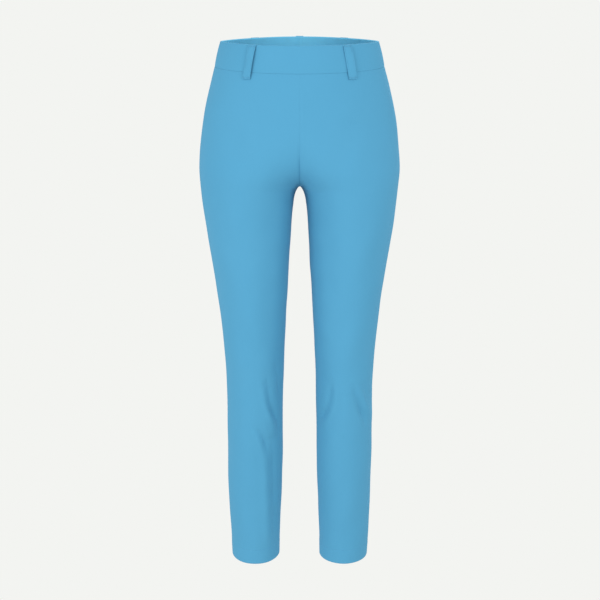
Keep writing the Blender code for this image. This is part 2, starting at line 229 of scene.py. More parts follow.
# ---------------------------------------------------------------- the form, on arrays of places
def curve_through(rows, place):
    """The rows' values at each place, on a smooth curve through the whole table."""
    table = np.array(rows, float)
    place = np.asarray(place, float)
    low = np.clip(np.searchsorted(table[:, 0], place, side="right") - 1, 0, len(table) - 2)
    before, start, end, after = (table[np.clip(low + k, 0, len(table) - 1)] for k in (-1, 0, 1, 2))
    span = (end - start)[..., :1]
    t = np.clip((place[..., None] - start[..., :1]) / span, 0.0, 1.0)
    slope_start = (end - before) / (end - before)[..., :1] * span
    slope_end = (after - start) / (after - start)[..., :1] * span
    values = (
        (2 * t ** 3 - 3 * t ** 2 + 1) * start
        + (t ** 3 - 2 * t ** 2 + t) * slope_start
        + (3 * t ** 2 - 2 * t ** 3) * end
        + (t ** 3 - t ** 2) * slope_end
    )
    return type(rows[0])(place, *np.moveaxis(values, -1, 0)[1:])


def overlap(drop, facing):
    """How far one leg's oval still reaches into the other's, from 0 at the hips to 1."""
    curve = FRONT_CURVE if facing == FRONT else BACK_CURVE
    share = np.clip((CROTCH_DROP - drop) / curve, 0.0, 1.0)
    start = CROTCH_SPREAD * curve / CURVE_POWER * CROTCH_SOFT
    share = share * (share + start) / (share + CROTCH_SOFT) * (1.0 + CROTCH_SOFT) / (1.0 + start)
    return (1.0 - share) ** CURVE_POWER


def first_turn(drop, facing):
    """The turn at which a section's half starts: the centre seam, or the inner side at 0."""
    return np.arccos(overlap(drop, facing))


def leg_gap(section, turn):
    """x of the leg's inner side, as the cloth at a turn feels it: a round arch at the crotch."""
    below = np.maximum(section.drop - CROTCH_DROP, 0.0)
    share = np.minimum(below / CROTCH_ARCH, 1.0)
    arch = np.sqrt(1.0 - (1.0 - share) ** 2)
    eased = 1.0 - np.exp(-below / CROTCH_EASE)
    nearness = (0.5 + 0.5 * np.cos(turn)) ** CROTCH_NEAR
    return section.inner * (nearness * arch + (1.0 - nearness) * eased)


def depth_share(drop, turn, facing):
    """Share of a section's reach at a turn: an oval's, drawn in beside the seams at the waist."""
    pinch = FRONT_PINCH if facing == FRONT else BACK_PINCH
    power = 1.0 + pinch * np.maximum(1.0 - drop / PINCH_DROP, 0.0) ** 2
    return np.sign(np.sin(turn)) * np.abs(np.sin(turn)) ** power


def depth_reach(section, facing):
    """How far a section reaches from its seams, forwards or back."""
    return section.seam - section.front if facing == FRONT else section.back - section.seam


def form_points(drop, turn, facing):
    """Points of the form on the wearer's left: turn is 0 at the inner leg, pi at the side."""
    drop, turn = np.broadcast_arrays(drop, turn)
    section = curve_through(SECTIONS, drop)
    below = drop >= CROTCH_DROP
    inner = leg_gap(section, turn)
    offset = overlap(drop, facing)
    half = np.where(below, (section.side - inner) / 2, section.side / (1.0 + offset))
    centre = np.where(below, (section.side + inner) / 2, offset * half)
    y = facing * depth_reach(section, facing) * depth_share(drop, turn, facing)
    return np.stack([centre - half * np.cos(turn), section.seam + y, section.rise * y - drop], -1)


def form_normals(drop, turn, facing):
    """The directions out of the cloth at those places, from points close by on each side."""
    aside, below = 0.02, 0.5
    across = form_points(drop, turn + aside, facing) - form_points(drop, turn - aside, facing)
    down = form_points(drop + below, turn, facing) - form_points(drop - below, turn, facing)
    out = np.cross(across, down) * facing
    return out / np.linalg.norm(out, axis=-1, keepdims=True)


def crease_height(crease, points):
    """How far one crease moves the cloth: it fades at both ends and wanders in depth."""
    places = np.array(crease.places, float)
    steps = np.linalg.norm(np.diff(places, axis=0), axis=1)
    here = np.stack([points[..., 0], -points[..., 2]], -1)
    nearest = np.full(here.shape[:-1], 1e9)
    away = np.zeros_like(nearest)
    along = np.zeros_like(nearest)
    walked = 0.0
    for start, end, step in zip(places[:-1], places[1:], steps):
        run = (end - start) / step
        on_run = np.clip((here - start) @ run, 0.0, step)
        gap = here - start - on_run[..., None] * run
        distance = np.linalg.norm(gap, axis=-1)
        closer = distance < nearest
        nearest = np.where(closer, distance, nearest)
        beside = gap[..., 0] * run[1] - gap[..., 1] * run[0]
        away = np.where(closer, np.sign(beside) * distance, away)
        along = np.where(closer, walked + on_run, along)
        walked += step
    share = along / steps.sum()
    fade = np.sin(math.pi * np.clip(share, 0.02, 0.98)) ** 0.7
    uneven = 0.85 + 0.15 * np.sin(along / 9.0 + places[0, 0])
    across = away / crease.width
    bend = RIDGE_BEND if crease.height > 0 else TROUGH_BEND
    lip = crease.lip * np.exp(-(across - LIP_AWAY) ** 2)
    return crease.height * fade * uneven * (np.exp(-np.abs(across) ** bend) - lip)


def unevenness(points, side, facing):
    """Slow waves over the whole cloth, other ones on each leg and facing."""
    shift = 1.7 * side + 2.9 * facing
    total = np.zeros(points.shape[:-1])
    for wave in WAVES:
        place = points[..., 0] / wave.across + points[..., 2] / wave.down
        total += wave.height * np.sin(2 * math.pi * place + wave.start + shift)
    return total


def seam_draw(away, along, start, depth=SEAM_SINK):
    """Along a seam the cloth is drawn in, with small uneven puckers that die away beside it."""
    drawn = -depth * np.exp(-(away / SEAM_PULL) ** 2)
    swell = 0.16 * depth * np.exp(-((away - 5.0) / 3.0) ** 2)
    pucker = np.sin(along / 1.9 + start) * (0.6 + 0.4 * np.sin(along / 13.0 + 2 * start))
    return drawn + swell + 0.13 * depth * pucker * np.exp(-away / 6.0)


def pucker_start(side):
    """Where the puckers of a leg's side seam start, another place on each leg."""
    return 0.8 * side + 1.3


def centre_depth(drop, facing):
    """Depth of the centre seams and the inside leg seams: the front lies flat at the waist."""
    start = 0.1 if facing == FRONT else 0.6
    flat_to = 90.0
    share = np.clip((drop - flat_to) / (CROTCH_DROP - flat_to), 0.0, 1.0)
    return start + (0.7 * SEAM_SINK - start) * share ** 1.5


def crotch_ease(drop, from_inner):
    """How the cloth bridges the hollow in front of the crotch instead of lying right down in it."""
    most, height, width = 3.4, 40.0, 14.0
    along = np.exp(-((drop - CROTCH_DROP + 12.0) / height) ** 2)
    return most * along * np.exp(-(from_inner / width) ** 2)


def row_lengths(points):
    """Distance along each row of a grid of points from its first column."""
    steps = np.linalg.norm(np.diff(points, axis=-2), axis=-1)
    return np.concatenate([np.zeros(steps.shape[:-1] + (1,)), np.cumsum(steps, -1)], -1)


def leg_relief(drop, points, side, facing):
    """How far the finished cloth of a leg panel stands off its form, over a grid of places."""
    from_inner = row_lengths(points)
    from_side = from_inner[..., -1:] - from_inner
    relief = unevenness(points, side, facing)
    for crease in CREASES:
        if crease.side == side and crease.facing == facing:
            relief = relief + crease_height(crease, points)
    near_edge = np.exp(-np.minimum(from_inner, from_side) / 5.0)
    at_top = np.exp(-(drop - BAND_DEPTH) / 9.0)
    relief = relief * (1.0 - near_edge) * (1.0 - 0.9 * at_top)
    relief += seam_draw(from_side, drop, pucker_start(side))
    relief += seam_draw(from_inner, drop, 0.5 * side + 4.0, centre_depth(drop, facing))
    relief += crotch_ease(drop, from_inner)
    into_hem = drop - HEM_TOP
    relief += HEM_STEP / (1.0 + np.exp(-np.clip(into_hem, -20.0, 40.0) / 0.7))
    relief -= 0.35 * np.exp(-((into_hem - HEM_STITCH) / 1.3) ** 2)
    return relief


def leg_cloth(drop, turn, side, facing, sink):
    """Points of a leg panel's cloth, sunk below its outer face.

    Down to the crotch the inner edge keeps to the middle plane, and moves straight up or down at
    the crotch itself. Below it, both edges keep to the seams between front and back.
    """
    form = form_points(drop, turn, facing)
    normal = form_normals(drop, turn, facing)
    lift = leg_relief(drop, form, side, facing) - sink
    points = form + normal * lift[..., None]
    seam_y = curve_through(SECTIONS, drop[:, 0]).seam
    above = drop[:, 0] < CROTCH_DROP
    in_plane = normal[:, 0] * (0.0, 1.0, 1.0)
    in_plane[~above] = (0.0, 0.0, -1.0)
    moved = lift[:, 0] / np.maximum((in_plane ** 2).sum(-1), 0.5)
    centre = form[:, 0] + in_plane * moved[:, None]
    centre[:, 0] = SEAM_MEETS
    at_centre = drop[:, 0] <= CROTCH_DROP
    points[at_centre, 0] = centre[at_centre]
    points[~above, 0, 1] = seam_y[~above] + facing * SEAM_MEETS
    points[:, -1, 1] = seam_y + facing * SEAM_MEETS
    return points


# ---------------------------------------------------------------- meshes
def make_piece(name, mesh, finishes):
    """An object for a mesh, at the origin, with its finishes."""
    piece = bpy.data.objects.new(name, mesh)
    bpy.context.collection.objects.link(piece)
    for finish in finishes:
        mesh.materials.append(finish)
    return piece


def ring_shell(name, rings, side, finishes, inner_rows=(0, 0)):
    """A closed shell from a grid of points, in millimetres.

    The first axis goes round the shell's own section and the second runs along it. The ends are
    closed by joining the two halves of the ring. The rows from inner_rows[0] up to inner_rows[1]
    get the second finish. The UV map is in metres: across the cloth, and down it.
    """
    count, stretch = rings.shape[:2]
    points = rings * MM * (side, 1, 1)
    row, column = np.meshgrid(np.arange(count), np.arange(stretch - 1), indexing="ij")
    here = row * stretch + column
    after = (row + 1) % count * stretch + column
    quads = np.stack([here, here + 1, after + 1, after], -1).reshape(-1, 4)
    paired = np.arange(count // 2 - 1)
    opposite = count - 1 - paired
    start = np.stack([paired, paired + 1, opposite - 1, opposite], -1) * stretch
    end = start[:, ::-1] + stretch - 1
    faces = np.concatenate([quads, start, end])

    mesh = bpy.data.meshes.new(name)
    mesh.from_pydata(points.reshape(-1, 3).tolist(), [], faces.tolist())
    across = row_lengths(points)
    across -= across[:, -1:]
    round_steps = np.linalg.norm(np.diff(np.concatenate([points, points[:1]]), axis=0), axis=-1)
    down = np.concatenate([[0.0], np.cumsum(round_steps.mean(1))])
    u = across.ravel()[quads]
    v = np.stack([down[row], down[row], down[row + 1], down[row + 1]], -1).reshape(-1, 4)
    ends = points.reshape(-1, 3)[np.concatenate([start, end])][..., 1:]
    uv = np.concatenate([np.stack([u, v], -1), ends])
    layer = mesh.uv_layers.new(name="cloth")
    layer.data.foreach_set("uv", uv.astype(np.float32).ravel())
    is_inner = np.zeros(len(faces), np.int32)
    is_inner[:len(quads)] = ((row >= inner_rows[0]) & (row < inner_rows[1])).ravel()
    mesh.polygons.foreach_set("material_index", is_inner)
    if signed_volume(points.reshape(-1, 3), faces) < 0:
        mesh.flip_normals()
    mesh.shade_smooth()
    mesh.set_sharp_from_angle(angle=math.radians(SHARP_EDGE))
    return make_piece(name, mesh, finishes)


def signed_volume(points, quads):
    """Six times the volume that the faces enclose, negative where they are inside out."""
    a, b, c, d = (points[quads[:, k]] for k in range(4))
    return (a * np.cross(b, c)).sum() + (a * np.cross(c, d)).sum()


def spaced(start, end, steps, bunch=0):
    """Values after start up to end, evenly or bunched towards the end (+1) or the start (-1)."""
    share = np.arange(1, steps + 1) / steps
    if bunch > 0:
        share = np.sin(share * math.pi / 2)
    elif bunch < 0:
        share = 1.0 - np.cos(share * math.pi / 2)
    return start + (end - start) * share


def shares_across(edge, steps):
    """How far across a panel each of its columns is, closer together beside both seams."""
    return np.concatenate([edge, spaced(edge[-1], 1.0 - edge[-1], steps), 1.0 - edge[-2::-1]])


# ---------------------------------------------------------------- legs
def leg_stations():
    """Drop and sink for each ring of a leg panel: down its face, round the hem and up inside.

    The third value is the ring at the bottom of the hem, where the inside starts.
    """
    top = BAND_DEPTH + SEAM_MEETS
    fold = HEM_CLOTH / 2
    drops = np.concatenate([
        [top, top + 0.5, top + 1.2, top + 2.4, top + 4.5],
        spaced(top + 4.5, 170, 30),
        spaced(170, CROTCH_DROP, 26, 1),
        spaced(CROTCH_DROP, 300, 22, -1),
        spaced(300, 590, 66),
        spaced(590, 730, 80),
        spaced(730, HEM_TOP - 4, 50),
        HEM_TOP + np.array([-2.6, -1.5, -0.7, 0.0, 0.8, 1.6, 2.4, 3.2, 4.2, 6.0]),
        spaced(HEM_TOP + 6.0, HEM_DROP - fold, 8),
    ])
    inside = np.where(drops < HEM_TOP - 0.3, CLOTH, HEM_CLOTH)
    outside = np.zeros_like(drops)
    outside[:3] = (0.14, 0.05, 0.01)
    round_fold = np.linspace(0, math.pi, 10)[1:-1]
    drop = np.concatenate([drops, HEM_DROP - fold + fold * np.sin(round_fold), drops[::-1]])
    sink = np.concatenate([outside, fold - fold * np.cos(round_fold), inside[::-1]])
    return drop, sink, len(drops) + len(round_fold) // 2


def make_leg_panel(facing, side, outer, inner):
    """The front or back of one leg, from the waistband's seam to its turned hem."""
    drop, sink, turned = leg_stations()
    start = first_turn(drop[:, None], facing)
    turn = start + (math.pi - start) * shares_across(LEG_EDGE, 92)
    place = np.broadcast_to(drop[:, None], turn.shape)
    rings = leg_cloth(place, turn, side, facing, sink[:, None])
    name = f"cloth_leg_{FACING_NAMES[facing]}_{SIDE_NAMES[side]}"
    return ring_shell(name, rings, side, [outer, inner], (turned, len(rings)))


def allowance_faces(drops, turn, facing, start):
    """The outer and inner face of one edge of a seam, pressed against the inside of the cloth."""
    place = np.broadcast_to(drops[:, None], turn.shape)
    points = form_points(place, turn, facing)
    normal = form_normals(place, turn, facing)
    relief = seam_draw(np.broadcast_to(ALLOWANCE_COLUMNS, turn.shape), place, start)
    return [points + normal * (relief - depth)[..., None] for depth in ALLOWANCE_DEPTHS]


def allowance_shell(name, outer, inner, side, finish):
    """The closed strip between two faces that run across a seam."""
    ring = np.concatenate([outer, inner[:, ::-1]], 1).transpose(1, 0, 2)
    return ring_shell(name, ring, side, [finish])


def make_leg_allowance(name, at_side, side, drops, finish):
    """The two overlocked edges of a leg's side seam or inside leg seam, pressed open."""
    section = curve_through(SECTIONS, drops)
    halves = []
    for facing in (FRONT, BACK):
        lean = ALLOWANCE_COLUMNS / depth_reach(section, facing)[:, None]
        turn = math.pi - lean if at_side else first_turn(drops, facing)[:, None] + lean
        halves.append(allowance_faces(drops, turn, facing, pucker_start(side)))
    faces = [np.concatenate([front[:, ::-1], back[:, 1:]], 1) for front, back in zip(*halves)]
    return allowance_shell(name, *faces, side, finish)


def make_centre_allowance(name, facing, drops, finish):
    """The two overlocked edges of the centre front or centre back seam, pressed open."""
    section = curve_through(SECTIONS, drops)
    lean = ALLOWANCE_COLUMNS / (section.side / (1.0 + overlap(drops, facing)))[:, None]
    faces = []
    for half in allowance_faces(drops, first_turn(drops, facing)[:, None] + lean, facing, 4.5):
        half[:, 0, 0] = 0.0
        faces.append(np.concatenate([half[:, :0:-1] * (-1, 1, 1), half], 1))
    return allowance_shell(name, *faces, LEFT, finish)


# ---------------------------------------------------------------- waistband
def band_section():
    """Drop and lift for each ring of the waistband: up its face, over its edge, down inside.

    The third value is the ring at the top of that edge, where the inside starts.
    """
    face = BAND_PROUD
    back = BAND_PROUD - BAND_CLOTH
    radius = BAND_CLOTH / 2
    low = BAND_DEPTH - SEAM_MEETS
    turn = np.linspace(0, math.pi, 8)
    over_drop = radius - radius * np.sin(turn)
    over_lift = face - radius + radius * np.cos(turn)
    rise = np.linspace(low - 1.6, radius + 1.0, 18)
    tuck_drop = low - np.array([0.0, 0.1, 0.5, 1.0])
    face_tuck = (-0.6, 0.86, 0.97, face)
    back_tuck = (back, back, back + 0.1, -1.2)
    drop = np.concatenate([tuck_drop, rise, over_drop, rise[::-1], tuck_drop[::-1]])
    faces = [face_tuck, np.full(len(rise), face), over_lift, np.full(len(rise), back), back_tuck]
    return drop, np.concatenate(faces), len(tuck_drop) + len(rise) + len(turn) // 2


def make_waistband(name, facing, sides, outer, inner):
    """A stretch of waistband on one side or both: folded over, with a rounded upper edge."""
    drop, lift, turned = band_section()
    share = shares_across(BAND_EDGE, 52)
    turn = np.broadcast_to(math.pi / 2 * (1 + share), (len(drop), len(share)))
    place = np.broadcast_to(drop[:, None], turn.shape)
    form = form_points(place, turn, facing)
    normal = form_normals(place, turn, facing)
    along = row_lengths(form)
    to_side = along[..., -1:] - along
    # It bellies out between its edges, with slow ripples, and closer ones where the elastic
    # gathers the back. Its lower edge is drawn in along the waist seam.
    middle = np.sin(np.clip(place / BAND_DEPTH, 0, 1) * math.pi)
    relief = 0.35 * middle
    relief += 0.22 * np.sin(form[..., 0] / 17.0 + 0.6 * facing) * np.sin(place / 15.0 + 1.0)
    if facing == BACK:
        relief += 0.22 * np.sin(form[..., 0] / 3.4 + 0.5 * np.sin(place / 7.0)) * middle
    relief -= (0.93 - 0.05 * np.cos(form[..., 0] / 20.0)) * np.exp(-(BAND_DEPTH - place) / 8.0)
    relief += seam_draw(to_side, place, 2.0) * BAND_SEAM
    is_half = len(sides) == 1
    if is_half:
        relief += seam_draw(along, place, 5.0) * BAND_SEAM
    points = form + normal * (lift[:, None] + relief)[..., None]
    points[:, -1, 1] = facing * SEAM_MEETS
    points[:, 0, 0] = SEAM_MEETS if is_half else 0.0
    if not is_half:
        points = np.concatenate([points[:, :0:-1] * (-1, 1, 1), points], 1)
    return ring_shell(name, points, sides[0], [outer, inner], (turned, len(drop)))


# ---------------------------------------------------------------- belt loops
def surface_at(x, drop, facing, lift):
    """Points lifted off the form, by their distance from the middle plane."""
    turn = np.arccos(-np.abs(x) / curve_through(SECTIONS, drop).side)
    points = form_points(drop, turn, facing) + form_normals(drop, turn, facing) * lift[..., None]
    points[..., 0] = np.where(x < 0, -points[..., 0], points[..., 0])
    return points


def loop_place(cut, along, across):
    """Distance from the middle plane, and drop, of places along and across a belt loop."""
    x = cut.x_top + (cut.x_low - cut.x_top) * along + across
    return x, cut.top + (LOOP_END - cut.top) * along


def loop_lift(cut, along, across):
    """How far a loop's inner face stands off the form: one edge leans out past the other."""
    lean = cut.lean * across / LOOP_WIDTH * np.sin(math.pi * along)
    return curve_through(LOOP_STANDS, along).height + lean


def loop_section():
    """Across and height for each ring of a belt loop: a folded strip with rounded edges."""
    half = LOOP_WIDTH / 2
    thick = LOOP_CLOTH / 2
    bend = np.linspace(-math.pi / 2, math.pi / 2, 7)
    flat = np.linspace(-half + thick, half - thick, 11)
    across = np.concatenate([flat, half - thick + thick * np.cos(bend)[1:-1]])
    height = np.concatenate([np.zeros(len(flat)), thick + thick * np.sin(bend)[1:-1]])
    return np.concatenate([across, -across]), np.concatenate([height, 2 * thick - height])


def make_belt_loop(name, cut, finish):
    """One belt loop, its ends folded under and tacked down, its middle standing off the band."""
    across, height = loop_section()
    near_top = (0.0, 0.004, 0.012, 0.024, 0.04)
    near_foot = (0.97, 0.985, 0.994, 1.0)
    along = np.concatenate([near_top, spaced(0.04, 0.95, 34), near_foot])
    x, drop = loop_place(cut, along, across[:, None])
    ends = np.minimum(along, 1.0 - along) * (LOOP_END - cut.top)
    rounding = np.sqrt(np.clip(1.0 - (1.0 - np.clip(ends / 0.9, 0, 1)) ** 2, 0, 1))
    tacked = np.exp(-(ends - 2.2) ** 2)
    stitched = np.exp(-((np.abs(across) - LOOP_WIDTH / 2 + LOOP_STITCH) / 0.7) ** 2)
    is_face = height > LOOP_CLOTH * 0.6
    thickness = LOOP_CLOTH * (0.55 + 0.45 * rounding)
    lift = loop_lift(cut, along, across[:, None]) + (height / LOOP_CLOTH)[:, None] * thickness
    lift = lift - (is_face * LOOP_PRESS * stitched)[:, None]
    lift = lift - is_face[:, None] * TACK_PRESS * tacked
    lift = lift + 0.12 * np.sin(drop / 4.1 + cut.x_top) * is_face[:, None]
    points = surface_at(x, np.broadcast_to(drop, x.shape), cut.facing, lift)
    return ring_shell(name, points, cut.side, [finish])


# ---------------------------------------------------------------- stitches, by geometry nodes
def stitch_tree(name):
    """A node tree that sews: stitches of thread along the edges of a mesh line."""
    tree = bpy.data.node_groups.new(name, "GeometryNodeTree")
    tree.is_modifier = True
    sockets = (
        ("Line", "INPUT", "NodeSocketGeometry"),
        ("Pitch", "INPUT", "NodeSocketFloat"),
        ("Stitch length", "INPUT", "NodeSocketFloat"),
        ("Thread", "INPUT", "NodeSocketFloat"),
        ("Seed", "INPUT", "NodeSocketInt"),
        ("Finish", "INPUT", "NodeSocketMaterial"),
        ("Stitches", "OUTPUT", "NodeSocketGeometry"),
    )
    for label, way, kind in sockets:
        tree.interface.new_socket(label, in_out=way, socket_type=kind)

    def add(kind, settings=None, **links):
        """A node with its settings, and what its sockets hold or are joined to."""
        node = tree.nodes.new(kind)
        for label, value in (settings or {}).items():
            setattr(node, label, value)
        for label, value in links.items():
            socket = node.inputs[label.replace("_", " ")]
            if isinstance(value, bpy.types.NodeSocket):
                tree.links.new(value, socket)
            else:
                socket.default_value = value
        return node

    given = add("NodeGroupInput").outputs
    curve = add("GeometryNodeMeshToCurve", Mesh=given["Line"]).outputs["Curve"]
    along = add("GeometryNodeCurveToPoints", {"mode": "LENGTH"}, Curve=curve, Length=given["Pitch"])
    turned = add("FunctionNodeAlignRotationToVector", {"axis": "Z"}, Vector=along.outputs["Tangent"])
    varied = add("FunctionNodeRandomValue", {"data_type": "FLOAT"}, Seed=given["Seed"])
    varied.inputs[2].default_value = SHORTEST
    varied.inputs[3].default_value = LONGEST
    length = add("ShaderNodeMath", {"operation": "MULTIPLY"})
    tree.links.new(given["Stitch length"], length.inputs[0])
    tree.links.new(varied.outputs[1], length.inputs[1])
    thick = given["Thread"]
    size = add("ShaderNodeCombineXYZ", X=thick, Y=thick, Z=length.outputs[0])
    bead = add("GeometryNodeMeshUVSphere", Segments=6, Rings=5, Radius=0.5)
    sewn = add(
        "GeometryNodeInstanceOnPoints",
        Points=along.outputs["Points"],
        Instance=bead.outputs["Mesh"],
        Rotation=turned.outputs["Rotation"],
        Scale=size.outputs[0],
    )
    real = add("GeometryNodeRealizeInstances", Geometry=sewn.outputs["Instances"])
    smooth = add("GeometryNodeSetShadeSmooth", Geometry=real.outputs["Geometry"])
    done = add("GeometryNodeSetMaterial", Geometry=smooth.outputs[0], Material=given["Finish"])
    add("NodeGroupOutput", Stitches=done.outputs["Geometry"])
    return tree


def sew(name, lines, supplies, stitch):
    """One piece of stitches along some lines of points, in millimetres."""
    points, edges = [], []
    for line in lines:
        first = len(points)
        points += [tuple(point) for point in np.asarray(line) * MM]
        edges += [(first + k, first + k + 1) for k in range(len(line) - 1)]
    guide_mesh = bpy.data.meshes.new(name + "_line")
    guide_mesh.from_pydata(points, edges, [])
    guide = bpy.data.objects.new(name + "_line", guide_mesh)
    bpy.context.collection.objects.link(guide)
    sewing = guide.modifiers.new("sewing", "NODES")
    sewing.node_group = supplies.tree
    given = {
        "Pitch": stitch.pitch * MM,
        "Stitch length": stitch.length * MM,
        "Thread": stitch.thread * MM,
        "Seed": stitch.seed,
        "Finish": supplies.thread,
    }
    for socket in supplies.tree.interface.items_tree:
        if socket.name in given:
            sewing[socket.identifier] = given[socket.name]
    view = bpy.context.evaluated_depsgraph_get()
    mesh = bpy.data.meshes.new_from_object(guide.evaluated_get(view))
    mesh.name = name
    bpy.data.objects.remove(guide)
    return make_piece(name, mesh, [])


def hem_lines(side):
    """The line of stitches round one leg, just below the hem's upper fold."""
    turn = np.linspace(0.02, math.pi - 0.02, 90)[None]
    place = np.full_like(turn, HEM_TOP + HEM_STITCH)
    lines = []
    for facing in (FRONT, BACK):
        form = form_points(place, turn, facing)
        lift = leg_relief(place, form, side, facing) + 0.06
        line = (form + form_normals(place, turn, facing) * lift[..., None])[0]
        lines.append(line * (side, 1, 1))
    return lines


def loop_lines(cut):
    """Stitches along both edges of a belt loop."""
    along = np.linspace(0.07, 0.93, 40)
    lines = []
    for edge in (-1, 1):
        across = edge * (LOOP_WIDTH / 2 - LOOP_STITCH)
        x, drop = loop_place(cut, along, across)
        lift = loop_lift(cut, along, across) + LOOP_CLOTH - 0.16
        lines.append(surface_at(x, drop, cut.facing, lift) * (cut.side, 1, 1))
    return lines


def tack_lines(cut):
    """The close zigzag that tacks down each end of a belt loop."""
    count = 34
    across = np.linspace(-1, 1, count) * (LOOP_WIDTH / 2 - 1.2)
    zigzag = 0.8 * (np.arange(count) % 2 - 0.5)
    lines = []
    for end in (0.045, 0.955):
        along = np.full(count, end)
        x, drop = loop_place(cut, along, across)
        lift = loop_lift(cut, along, across) + LOOP_CLOTH - 0.25
        lines.append(surface_at(x, drop + zigzag, cut.facing, lift) * (cut.side, 1, 1))
    return lines


# ---------------------------------------------------------------- finishes
class Socket:
    """A socket of a material's tree, which the usual operators join to Math nodes."""

    def __init__(self, finish, socket):
        self.finish = finish
        self.socket = socket

    def maths(self, operation, first, second=None):
        values = {0: first} if second is None else {0: first, 1: second}
        return self.finish.node("ShaderNodeMath", {"operation": operation}, values)

    def __add__(self, other):
        return self.maths("ADD", self, other)

    def __radd__(self, other):
        return self.maths("ADD", other, self)

    def __sub__(self, other):
        return self.maths("SUBTRACT", self, other)

    def __rsub__(self, other):
        return self.maths("SUBTRACT", other, self)

    def __mul__(self, other):
        return self.maths("MULTIPLY", self, other)

    def power(self, exponent):
        return self.maths("POWER", self, exponent)

    def ripple(self):
        """A wave from 0 to 1 along this value."""
        return self.maths("SINE", self) * 0.5 + 0.5


class Finish:
    """A material in the making, with its one shader."""

    def __init__(self, name):
        self.material = bpy.data.materials.new(name)
        self.material.use_nodes = True
        self.tree = self.material.node_tree
        self.shader = self.tree.nodes["Principled BSDF"]

    def join(self, value, socket):
        """Puts a value or another node's socket into a socket."""
        if isinstance(value, Socket):
            self.tree.links.new(value.socket, socket)
        else:
            socket.default_value = value

    def node(self, kind, settings=None, values=None, output=0):
        """Any node: its settings first, then what its sockets hold."""
        node = self.tree.nodes.new(kind)
        for name, value in (settings or {}).items():
            setattr(node, name, value)
        for name, value in (values or {}).items():
            self.join(value, node.inputs[name])
        return Socket(self, node.outputs[output])

    def set(self, **values):
        """What the shader's sockets hold."""
        for name, value in values.items():
            self.join(value, self.shader.inputs[name.replace("_", " ")])

    def blend(self, share, first, second):
        """A colour between two, by a share."""
        settings = {"data_type": "RGBA"}
        return self.node("ShaderNodeMix", settings, {0: share, 6: first, 7: second}, 2)

    def noise(self, place, scale, detail=2.0, roughness=0.5):
        """Noise from 0 to 1."""
        values = {"Vector": place, "Scale": scale, "Detail": detail, "Roughness": roughness}
        return self.node("ShaderNodeTexNoise", None, values)

    def part(self, place, index):
        """One coordinate of a place: 0 for x or u, 1 for y or v, 2 for z."""
        return self.node("ShaderNodeSeparateXYZ", None, {0: place}, index)

    def on_cloth(self):
        """Places on the cloth's UV map, with their u and v."""
        uv = self.node("ShaderNodeUVMap", {"uv_map": "cloth"})
        return uv, self.part(uv, 0), self.part(uv, 1)

    def in_space(self):
        """Places in the object's own space."""
        return self.node("ShaderNodeTexCoord", output=3)

    def bump(self, strength, distance, height):
        """A fine relief, with its depth in metres and its height from 0 to 1."""
        values = {"Strength": strength, "Distance": distance, "Height": height}
        return self.node("ShaderNodeBump", None, values)


def twill(name, base, lit, dark_mottle_and_shade, weave=1.0):
    """Stretch twill: fine slanting wales of matt yarn, a soft surface, faint cloudiness, and faint
    painted shade in the weave's grooves.
    """
    finish = Finish(name)
    uv, u, v = finish.on_cloth()
    wander = finish.noise(uv, 160.0, 1.0) - 0.5
    wale = (u * 6200.0 + v * 3900.0 + wander * 1.6).ripple()
    pick = (v * 9800.0 - u * 2300.0 + wander * 2.2).ripple()
    yarn = finish.noise(uv, 2600.0)
    cloud = finish.noise(finish.in_space(), 9.0, 3.0, 0.6)
    fleck = finish.noise(uv, 620.0)
    height = wale.power(0.7) * 0.55 + pick * 0.25 + yarn * 0.35
    # The colour mixes random mottling with painted shade: the weave's grooves are painted darker and
    # its ridges lighter.
    mottle_and_weave_shade = cloud * 0.55 + fleck * 0.25 + height * 0.2
    colour = finish.blend(0.5, finish.blend(mottle_and_weave_shade, dark_mottle_and_shade, lit), base)
    bump = finish.bump(0.5, 0.00012 * weave, height)
    finish.set(Base_Color=colour, Roughness=0.86 - fleck * 0.1, Normal=bump)
    finish.set(Specular_IOR_Level=0.12, Sheen_Weight=0.04, Sheen_Roughness=0.5)
    finish.set(Sheen_Tint=(0.6, 0.85, 1.0, 1.0))
    return finish.material


def overlocked(name):
    """The raw edge inside a seam: cloth under slanting loops of overlock thread, with painted shade
    between the loops.
    """
    finish = Finish(name)
    uv, u, v = finish.on_cloth()
    strand = (u * 2500.0 + v * 900.0).ripple().power(0.6)
    fuzz = finish.noise(uv, 1500.0)
    # Painted shade: the cloth between the loops of thread is given the darker blue.
    colour = finish.blend(strand * 0.8 + fuzz * 0.2, SKY_BLUE_DARK_MOTTLE_AND_SHADE, THREAD_BLUE)
    bump = finish.bump(0.6, 0.0003, strand + fuzz * 0.3)
    finish.set(Base_Color=colour, Roughness=0.8 - strand * 0.1, Normal=bump)
    finish.set(Specular_IOR_Level=0.3, Sheen_Weight=0.1)
    return finish.material


def thread(name):
    """Sewing thread: two plies twisted together, a little glossier than the cloth, with painted shade
    between the plies.
    """
    finish = Finish(name)
    place = finish.in_space()
    ply = ((finish.part(place, 0) + finish.part(place, 2)) * 9000.0).ripple()
    # Painted shade and painted highlight: the twist's grooves are darker and the plies' crowns lighter.
    colour = finish.blend(ply, SKY_BLUE_DARK_MOTTLE_AND_SHADE, SKY_BLUE_LIT)
    bump = finish.bump(0.4, 0.0001, ply)
    finish.set(Base_Color=colour, Roughness=0.55 + ply * 0.1, Normal=bump)
    finish.set(Specular_IOR_Level=0.4, Sheen_Weight=0.1)
    return finish.material


def pale_paper(name):
    """The studio's floor: an even, pale, unmarked sheet that glows a little so it stays even."""
    finish = Finish(name)
    finish.set(Base_Color=BLACK, Roughness=1.0, Specular_IOR_Level=0.0)
    finish.set(Emission_Color=PALE, Emission_Strength=1.0)
    return finish.material


